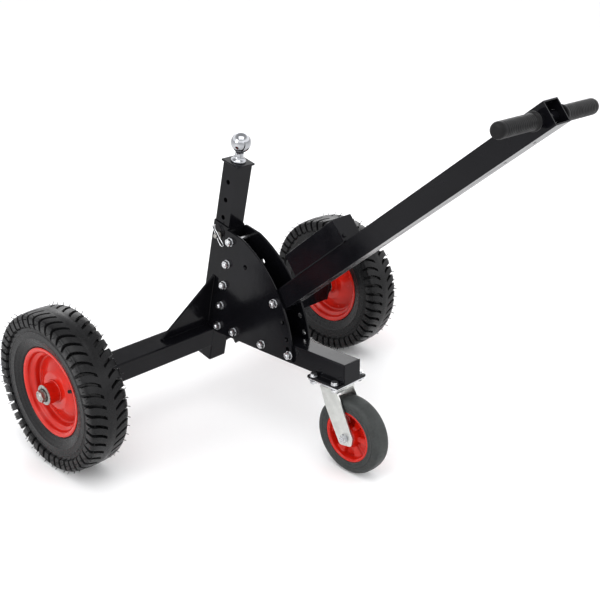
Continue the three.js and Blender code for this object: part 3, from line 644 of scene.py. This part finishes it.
def bearings(side, sign):
    """A flanged bearing with a rubber seal at each end of the hub."""
    where = place(WHEEL_CENTRE[side])
    body = f"wheel_{side}"
    for name, way in (("outer", sign), ("inner", -sign)):
        end = HUB_ENDS[name]
        bm = bmesh.new()
        near, far = end - 10.7, end + 3.2
        outer_ring = [(near, 17.6), (near, 21.0), (end + 0.3, 21.0), (end + 0.3, 25.5)]
        outer_ring += [(end + 2.2, 25.5), (end + 2.4, 21.6), (far, 20.4), (far, 17.6)]
        rings = (
            soft_ring(outer_ring, 0.5, 3),
            soft_ring([(near, 10.3), (near, 13.0), (far, 13.0), (far, 10.3)], 0.5, 3),
        )
        for ring in rings:
            round_about(bm, [(way * a, r) for a, r in ring], 72)
        finish_mesh(
            bm, f"bearing_rings_{name}_{side}", where, body, "zinc_plate", (f"bearing_{name}_{side}",),
            material="bearing_steel",
        )
        bm = bmesh.new()
        seal = [(far - 2.4, 12.8), (far - 0.9, 14.0), (far - 0.7, 15.4), (far - 1.3, 16.6)]
        ring = seal + [(far - 1.3, 17.8), (far - 3.4, 17.8), (far - 3.4, 12.8)]
        round_about(bm, [(way * a, r) for a, r in ring + ring[:1]], 72)
        finish_mesh(bm, f"bearing_seal_{name}_{side}", where, body, "zinc_plate", material="black_rubber")


def axle(side, sign):
    """The fixed shaft with its collar and threaded end, and the flanged nut on it."""
    bm = bmesh.new()
    start, end = SHAFT_ENDS
    plain = [
        (start, 0.01), (start, SHAFT_RADIUS), (COLLAR[0], SHAFT_RADIUS), (COLLAR[0], COLLAR_RADIUS),
        (COLLAR[1], COLLAR_RADIUS), (COLLAR[1], SHAFT_RADIUS), (540, SHAFT_RADIUS), (540.4, 9.6),
    ]
    shaft = soft_profile(plain, 0.4, 2)
    for k in range(THREAD_TURNS):
        shaft.append((THREAD_START + k * 1.8, 8.9))
        shaft.append((THREAD_START + 0.9 + k * 1.8, 9.95))
    shaft += [(end - 1.3, 9.2), (end, 7.9), (end, 3.0), (end - 1.2, 0.6), (end - 1.4, 0.01)]
    round_about(bm, [(sign * a, r) for a, r in shaft], 48)
    nodes = (f"axle_shaft_{side}",)
    finish_mesh(bm, f"axle_{side}", SHAFT, "frame", "zinc_plate", nodes, material="bearing_steel")
    bm = bmesh.new()
    washer(bm, sign * NUT_SEAT, sign * (NUT_SEAT + 2), 15.4, 10.5)
    hexagon(bm, sign * (NUT_SEAT + 1.9), sign * (NUT_SEAT + 11.4), 15.6, 10.5)
    nodes = (f"axle_nut_{side}",)
    finish_mesh(bm, f"flange_nut_{side}", SHAFT, "frame", "zinc_plate", nodes, material="bearing_steel")


def valve(side, sign):
    """A rubber stem with a ribbed cap."""
    bm = bmesh.new()
    stem = [(-10, 0.01), (-10, 6), (-3.2, 6), (-2.8, 4.1), (9, 3.9), (14, 3.3), (15, 3.3)]
    cap = [(15, 4.6), (17, 4.8), (18, 4.4), (19, 4.8), (20, 4.4), (21, 4.8), (22, 4.4)]
    cap += [(33.4, 4.4), (35, 3.2), (35, 0.01)]
    round_about(bm, stem + cap, 32, axis="z")
    lean = (
        Matrix.Rotation(math.radians(-20), 4, "X")
        @ Matrix.Translation((sign * 8, -95.5, 0))
        @ Matrix.Rotation(math.radians(-sign * 22), 4, "Z")
        @ Matrix.Rotation(math.radians(90), 4, "X")
        @ Matrix.Scale(-1, 4, (0, 0, 1))
    )
    bmesh.ops.transform(bm, matrix=lean, verts=bm.verts)
    where = place(WHEEL_CENTRE[side])
    finish_mesh(bm, f"valve_{side}", where, f"wheel_{side}", "black_rubber", (f"valve_stem_{side}",))


for side, sign in SIDES:
    tyre(side, sign)
    moulding_hairs(side, sign)
    rim(side, sign)
    hub(side, sign)
    bearings(side, sign)
    axle(side, sign)
    valve(side, sign)

# ------------------------------------------------------------------ caster

FORK_HALF_WIDTH = 32.3
SPOKES = 6
SPOKE_WEB = 3.0


def caster_tyre():
    """A solid tyre with two fine lines and a ribbed shoulder on each side."""
    side_points = [
        (23.6, 67.3), (24.0, 70.5), (23.0, 71.6), (23.0, 73.4), (24.0, 74.6), (24.0, 80.2), (23.3, 80.8),
        (23.3, 82.0), (24.0, 82.6), (24.0, 88.0), (23.2, 91.6), (21.3, 94.8), (18.6, 97.0), (14.5, 98.4),
        (9.0, 99.2), (3.0, 99.5),
    ]
    ring = side_points + [(-a, r) for a, r in reversed(side_points)]
    segments = 180
    rib_depth = 0.9
    bm = bmesh.new()
    rows = []
    for along, radius in ring + [(-20, 67.3), (20, 67.3)]:
        on_shoulder = 83 < radius < 93 and abs(along) > 22
        row = []
        for j in range(segments):
            a = 2 * math.pi * j / segments
            r = radius - rib_depth if on_shoulder and j % 3 == 0 else radius
            row.append(bm.verts.new((along, r * math.cos(a), r * math.sin(a))))
        rows.append(row)
    grid_faces(bm, rows, closed_rows=True)
    nodes = ("caster_tyre",)
    finish_mesh(bm, "caster_tread_tyre", CASTER_WHEEL, "caster_wheel", "grey_tyre", nodes, sharp=40)


def caster_rim():
    """A rim whose web is sunk into pockets between the spokes."""
    bm = bmesh.new()
    face = [
        (20.5, 67.0), (22.6, 66.8), (23.4, 65.6), (23.2, 62.6), (22.0, 60.2), (19.0, 58.8), (15.0, 58.0),
        (12.6, 56.8), (11.4, 55.0), (11.0, 51.0), (10.8, 46.0), (10.8, 40.0), (10.8, 35.0), (11.2, 31.6),
        (12.4, 29.6), (14.6, 27.8), (20.0, 26.2), (24.4, 25.0), (26.4, 23.2), (26.8, 19.6), (26.8, 15.0),
        (26.2, 13.2), (26.2, 6.6),
    ]
    ring = face + [(-a, r) for a, r in reversed(face)]
    round_about(bm, ring + ring[:1], 180)
    for v in bm.verts:
        r = math.hypot(v.co.y, v.co.z)
        if 29 < r < 57.5 and abs(v.co.x) < 14:
            spoke = math.cos(SPOKES * math.atan2(v.co.z, v.co.y))
            pocket = min(max((0.35 - spoke) / 0.5, 0.0), 1.0)
            v.co.x -= math.copysign((abs(v.co.x) - SPOKE_WEB) * pocket, v.co.x)
    nodes = ("caster_rim",)
    finish_mesh(bm, "caster_pressed_rim", CASTER_WHEEL, "caster_wheel", "red_enamel", nodes, sharp=45)


def caster_fork():
    """The fork and, above it, the ball race that it turns on."""
    refine("caster_fork", edge=0.9, name="fork_pressing", material="fork_zinc", sharp=36)
    bm = bmesh.new()
    race = [(-15.2, 0.01), (-15.2, 26.8), (-12.4, 28.6), (-7.6, 30.2), (-6.4, 29.2), (-5.6, 29.2)]
    race += [(-4.6, 30.4), (-1.8, 30.4), (-0.4, 29.2), (-0.4, 8.1), (-0.35, 0.01)]
    round_about(bm, race, 72, axis="z")
    finish_mesh(bm, "swivel_race", CASTER, "caster_fork", "zinc_plate", material="fork_zinc")


def caster_axle_bolt():
    drop = (CASTER.inverted() @ CASTER_CENTRE) / MM
    across_bolt = (drop.y, drop.z)
    grip = FORK_HALF_WIDTH
    bm = bmesh.new()
    round_about(bm, [(-grip - 3, 5.9), (grip + 3, 5.9)], 32, (0, *across_bolt))
    washer(bm, -grip - 2.0, -grip - 0.3, 11.6, 5.95, across_bolt)
    hexagon(bm, -grip - 2.1, -grip - 9.5, 10.6, 0, across_bolt)
    threaded(bm, -grip - 9.4, -grip - 14.5, 5.8, across_bolt)
    washer(bm, grip + 0.3, grip + 2.0, 11.6, 5.95, across_bolt)
    hexagon(bm, grip + 2.1, grip + 8, 10.6, 0, across_bolt)
    finish_mesh(bm, "caster_axle_bolt", CASTER, "caster_fork", "zinc_plate", ("caster_axle",))


def caster_plate_bolt(i):
    """A bolt through the pad and the caster's top plate, with its head above and its nut below."""
    low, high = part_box(f"caster_bolt_{i}")
    at = (CASTER.inverted() @ ((low + high) / 2)) / MM
    across_bolt = (at.x, at.y)
    bm = bmesh.new()
    round_about(bm, [(-8, 3.9), (13, 3.9)], 24, (*across_bolt, 0), "z")
    washer(bm, 11.9, 13.2, 10.4, 3.95, across_bolt, "z")
    hexagon(bm, 13.2, 19.6, 9.2, 0, across_bolt, "z", turn=0.3 * i)
    washer(bm, -1.7, -0.3, 10.2, 3.95, across_bolt, "z")
    hexagon(bm, -1.8, -7.6, 9.2, 0, across_bolt, "z", turn=0.7 * i)
    threaded(bm, -6.9, -10.2, 3.8, across_bolt, "z", 1.25)
    finish_mesh(bm, f"caster_plate_bolt_{i}", CASTER, "frame", "zinc_plate", (f"caster_bolt_{i}",))


caster_tyre()
caster_rim()
caster_fork()
caster_axle_bolt()
for number in range(1, 5):
    caster_plate_bolt(number)

# ------------------------------------------------------------------ bolts through the fan plates

PLATES_HALF_WIDTH = 34.6
THROUGH_BOLTS = (
    "mast_bolt_1", "mast_bolt_2", "mast_bolt_3", "mast_bolt_4", "mast_bolt_5", "tongue_bolt_1",
    "tongue_bolt_2", "pivot_bolt", "lock_bolt",
)


def through_bolt(node):
    """A bolt across both plates: nut and thread on the left, head on the right."""
    low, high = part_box(node)
    middle = (low + high) / 2 / MM
    across_bolt = (middle.y, middle.z)
    grip = PLATES_HALF_WIDTH
    turn = random.uniform(0, 1)
    bm = bmesh.new()
    round_about(bm, [(-grip - 4, 5.9), (grip + 4, 5.9)], 32, (0, *across_bolt))
    washer(bm, -grip - 1.9, -grip - 0.05, 11.4, 5.95, across_bolt)
    washer(bm, -grip - 3.4, -grip - 1.9, 9.8, 5.95, across_bolt)
    hexagon(bm, -grip - 3.4, -grip - 10.4, 10.6, 0, across_bolt, turn=turn)
    threaded(bm, -grip - 10.3, -grip - 15, 5.8, across_bolt)
    washer(bm, grip + 0.05, grip + 1.9, 11.4, 5.95, across_bolt)
    hexagon(bm, grip + 1.9, grip + 8, 10.6, 0, across_bolt, turn=turn + 0.4)
    finish_mesh(bm, f"{node}_hardware", WORLD, "frame", "zinc_plate", (node,))


def pivot_bush(side, sign):
    """A spacer on the pivot bolt, between the handle and a plate."""
    bm = bmesh.new()
    near, far = sign * 25.3, sign * 28
    ring = soft_ring([(near, 6.5), (near, 14), (far, 14), (far, 6.5)], 0.4, 2)
    round_about(bm, ring, 48, (0, PIVOT.y / MM, PIVOT.z / MM))
    finish_mesh(bm, f"pivot_bush_{side}", WORLD, "frame", "zinc_plate", (f"pivot_spacer_{side}",))


for bolt in THROUGH_BOLTS:
    through_bolt(bolt)
for side, sign in SIDES:
    pivot_bush(side, sign)

# ------------------------------------------------------------------ ball post and hitch pin

POST_PLATE_TOP = 507.7
BALL_CENTRE = 557.8
BALL_RADIUS = 25.4
BALL_NECK = 11.0
BALL_STEPS = 39
PIN_HEIGHT = 304


def tow_ball():
    """The ball with its neck, flange and stud, turned as one piece, and its nut."""
    top = POST_PLATE_TOP
    profile = [
        (478.4, 0.01), (478.4, 8.4), (479.4, 9.0), (top + 0.3, 9.0), (top + 0.3, 19.2),
        (top + 0.9, 19.5), (top + 3.4, 19.5), (top + 4.8, 18.6), (top + 6.8, 16.2), (top + 9.5, 13.2),
        (top + 12.6, 11.5), (top + 17, BALL_NECK), (top + 23.6, BALL_NECK),
    ]
    start = math.asin(BALL_NECK / BALL_RADIUS)
    for i in range(1, BALL_STEPS):
        angle = start + (math.pi - start) * i / BALL_STEPS
        profile.append((BALL_CENTRE - BALL_RADIUS * math.cos(angle), BALL_RADIUS * math.sin(angle)))
    profile.append((BALL_CENTRE + BALL_RADIUS, 0.01))
    bm = bmesh.new()
    round_about(bm, profile, 96, axis="z")
    finish_mesh(bm, "tow_ball", MAST, "ball_post", "bright_chrome", ("hitch_ball",), sharp=40)

    bm = bmesh.new()
    hexagon(bm, 502.2, 484.4, 17, 9.5, axis="z")
    finish_mesh(bm, "tow_ball_nut", MAST, "ball_post", "zinc_plate", ("ball_nut",))


def hitch_pin():
    """The pin across the sleeve, with a collar on the left, and its spring clip."""
    bm = bmesh.new()
    pin = [(-46, 4.6), (-44.6, 6), (-32, 6), (-32, 9), (-28.6, 9), (-28.6, 6), (30.4, 6), (33, 4.4)]
    round_about(bm, soft_profile(pin, 0.5, 2), 48, (0, 0, PIN_HEIGHT))
    nodes = ("hitch_pin",)
    finish_mesh(bm, "locking_pin", MAST, "hitch_pin", "zinc_plate", nodes, material="bearing_steel")

    bm = bmesh.new()
    bm.from_mesh(NODES["pin_clip"].data)
    bmesh.ops.scale(bm, vec=(1000, 1000, 1000), verts=bm.verts)
    finish_mesh(bm, "spring_clip", WORLD, "hitch_pin", "zinc_plate", ("pin_clip",), sharp=60)


tow_ball()
refine("post_tube", MAST_AXIS, corner=3.6, edge=0.4)
refine("post_top_plate", MAST_AXIS, corner=2.0, edge=0.9)
hitch_pin()

# ------------------------------------------------------------------ frame weldment

refine("mast_sleeve", MAST_AXIS, corner=3.2, edge=0.4)
refine("tongue_tube", TONGUE_AXIS, corner=3.0, edge=0.4)
refine("tongue_cap", TONGUE_AXIS, corner=3.0, edge=0.8)
for side, _ in SIDES:
    refine(f"axle_beam_{side}", (1, 0, 0), corner=4.0, edge=0.4)
    refine(f"beam_end_plate_{side}", edge=0.9)
    refine(f"gusset_{side}", edge=0.6)
    refine(f"fan_plate_{side}", edge=0.7)
refine("caster_pad", SWIVEL_AXIS, corner=3.5, edge=0.7)
refine("caster_top_plate", SWIVEL_AXIS, corner=6.0, edge=0.6)


def square_run(x, half_y, half_z):
    """Once round a square that faces sideways at x."""
    corners = [(x, -half_y, half_z), (x, -half_y, -half_z), (x, half_y, -half_z), (x, half_y, half_z)]
    return corners + corners[:1]


def frame_welds(side, sign):
    """Beads round both ends of a beam, up both faces of its gusset and along the caster pad."""
    mast_face = sign * 28.3
    bead(f"beam_weld_{side}", square_run(mast_face, 28, 30.5), MAST, "frame")
    for k, y in enumerate((-3.4, 3.4)):
        run = [(mast_face + sign, y, 182), (mast_face + sign, y, 31.5), (sign * 184, y, 31.2)]
        bead(f"gusset_weld_{side}_{k}", run, MAST, "frame", 2.2)
    bead(f"end_weld_{side}", square_run(sign * 428, 29.6, 29.6), MAST, "frame", 1.4)
    pad_edge = [(sign * 27.6, -495, -26.6), (sign * 27.6, -398, -26.6)]
    bead(f"pad_weld_{side}", pad_edge, TONGUE, "frame", 2.0)


for side, sign in SIDES:
    frame_welds(side, sign)

# ------------------------------------------------------------------ handle

GRIP_RIDGES = 17
RIDGE_PITCH = 5.6


def handle_welds():
    """Beads where the receiver box sits on the handle tube."""
    top_face = 26.6
    for side, sign in SIDES:
        run = [(sign * 26.2, -314, top_face), (sign * 26.2, -506, top_face)]
        bead(f"box_weld_{side}", run, HANDLE, "handle", 2.0)
    bead("box_weld_front", [(-24, -511.4, top_face), (24, -511.4, top_face)], HANDLE, "handle", 2.0)


def cross_bar():
    bm = bmesh.new()
    round_about(bm, soft_profile([(-159, 0.01), (-159, 12.5), (159, 12.5), (159, 0.01)], 1.2, 3), 64)
    finish_mesh(bm, "grip_bar", BAR, "handle", "zinc_plate", ("cross_bar",), material="black_powder_coat")


def rubber_grip(side, sign):
    """A closed rubber sleeve with a flange at its inner end and ridges round it."""
    outer = [(44, 12.8), (44, 18.6), (44.8, 19.5), (48.2, 19.5), (49.6, 18.2), (51.0, 16.8)]
    for k in range(GRIP_RIDGES):
        base = 52 + k * RIDGE_PITCH
        outer += [(base, 16.5), (base + 3.9, 16.5), (base + 4.3, 16.3), (base + 5.2, 16.3)]
    outer += [(150, 16.5), (156.5, 16.3), (160.2, 15.0), (162.3, 12.2), (162.9, 8.0), (163, 0.01)]
    inner = [(159.4, 0.01), (159.4, 12.8)]
    ring = outer + inner
    bm = bmesh.new()
    round_about(bm, [(sign * a, r) for a, r in ring + ring[:1]], 72)
    finish_mesh(bm, f"rubber_grip_{side}", BAR, "handle", "black_rubber", (f"grip_{side}",), sharp=50)


refine("handle_tube", HANDLE_AXIS, corner=3.4, edge=0.4)
refine("receiver_box", HANDLE_AXIS, corner=1.0, edge=0.4, steps=2)
refine("receiver_cap", edge=0.8)
handle_welds()
cross_bar()
for side, sign in SIDES:
    rubber_grip(side, sign)

# ------------------------------------------------------------------ stage, light and camera

FLOOR_HALF_SIZE = 30.0
FLOOR_CELLS = 24

# Each stop is [height on the sky, brightness].
SKY_STOPS = ((0.0, 0.95), (0.07, 0.92), (0.14, 0.78), (0.24, 1.6), (0.5, 1.6), (0.7, 0.7), (1.0, 0.6))
SKY_STRENGTH = 1.08

# Each light is [name, place, aim, size, power].
SOFT_LIGHTS = (
    ("overhead_softbox", (-0.6, -0.6, 3.2), (0, 0, 0.3), (2.6, 2.0), 34),
    ("left_softbox", (-3.2, 0.6, 1.9), (0, 0, 0.4), (1.6, 2.2), 26),
    ("front_softbox", (-0.6, -3.4, 1.5), (0, 0, 0.4), (2.4, 1.6), 5),
    ("back_softbox", (2.7, 2.6, 1.9), (0, 0, 0.3), (3.4, 1.4), 24),
)

CAMERA_PLACE = (-1.6865, -1.9397 + AXLE_Y, 1.4441)
CAMERA_YAW = math.radians(46.23)
CAMERA_PITCH = math.radians(24.16)
CAMERA_ROLL = math.radians(1.52)
CAMERA_LENS = 62.27
VIEW_GAMMA = 0.86


def studio_floor():
    bm = bmesh.new()
    steps = [FLOOR_HALF_SIZE * (2 * i / FLOOR_CELLS - 1) for i in range(FLOOR_CELLS + 1)]
    rows = [[bm.verts.new((x, y, 0)) for y in steps] for x in steps]
    grid_faces(bm, rows, closed_columns=False)
    mesh = bpy.data.meshes.new("studio_floor")
    bm.to_mesh(mesh)
    bm.free()
    m = Nodes("studio_floor").set(Roughness=0.9)
    m.colour(m.ramp(m.noise(0.6, 2), (0.95, 0.95, 0.95), (0.965, 0.965, 0.965)))
    mesh.materials.append(m.material)
    floor = bpy.data.objects.new("studio_floor", mesh)
    bpy.context.scene.collection.objects.link(floor)


def studio_world():
    """A sky whose brightness depends on height only."""
    world = bpy.data.worlds.new("studio")
    bpy.context.scene.world = world
    world.use_nodes = True
    tree = world.node_tree
    tree.nodes.clear()
    coords = tree.nodes.new("ShaderNodeTexCoord")
    split = tree.nodes.new("ShaderNodeSeparateXYZ")
    ramp = tree.nodes.new("ShaderNodeValToRGB")
    back = tree.nodes.new("ShaderNodeBackground")
    out = tree.nodes.new("ShaderNodeOutputWorld")
    tree.links.new(coords.outputs["Generated"], split.inputs[0])
    tree.links.new(split.outputs["Z"], ramp.inputs[0])
    tree.links.new(ramp.outputs[0], back.inputs[0])
    tree.links.new(back.outputs[0], out.inputs[0])
    elements = ramp.color_ramp.elements
    elements[0].position, elements[1].position = SKY_STOPS[0][0], SKY_STOPS[-1][0]
    for position, _ in SKY_STOPS[1:-1]:
        elements.new(position)
    for element, (_, level) in zip(elements, SKY_STOPS):
        element.color = (level, level, level * 1.01, 1)
    back.inputs[1].default_value = SKY_STRENGTH


def soft_light(name, at, aim, size, power):
    """A rectangular area light that points at a place."""
    data = bpy.data.lights.new(name, "AREA")
    data.shape = "RECTANGLE"
    data.size, data.size_y = size
    data.energy = power
    light = bpy.data.objects.new(name, data)
    light.location = at
    way = Vector(aim) - Vector(at)
    light.rotation_euler = way.to_track_quat("-Z", "Y").to_euler()
    bpy.context.scene.collection.objects.link(light)


def camera():
    yaw, pitch, roll = CAMERA_YAW, CAMERA_PITCH, CAMERA_ROLL
    forward = Vector((math.sin(yaw) * math.cos(pitch), math.cos(yaw) * math.cos(pitch), -math.sin(pitch)))
    right = Vector((math.cos(yaw), -math.sin(yaw), 0))
    up = right.cross(forward)
    right_rolled = right * math.cos(roll) + up * math.sin(roll)
    up_rolled = up * math.cos(roll) - right * math.sin(roll)
    turned = Matrix((right_rolled, up_rolled, -forward)).transposed().to_4x4()
    data = bpy.data.cameras.new("camera")
    data.sensor_width = 36
    data.lens = CAMERA_LENS
    data.clip_end = 100
    view = bpy.data.objects.new("camera", data)
    view.matrix_world = Matrix.Translation(CAMERA_PLACE) @ turned
    bpy.context.scene.collection.objects.link(view)
    bpy.context.scene.camera = view


studio_floor()
studio_world()
for soft_box in SOFT_LIGHTS:
    soft_light(*soft_box)
camera()
bpy.context.scene.view_settings.view_transform = "Standard"
bpy.context.scene.view_settings.gamma = VIEW_GAMMA
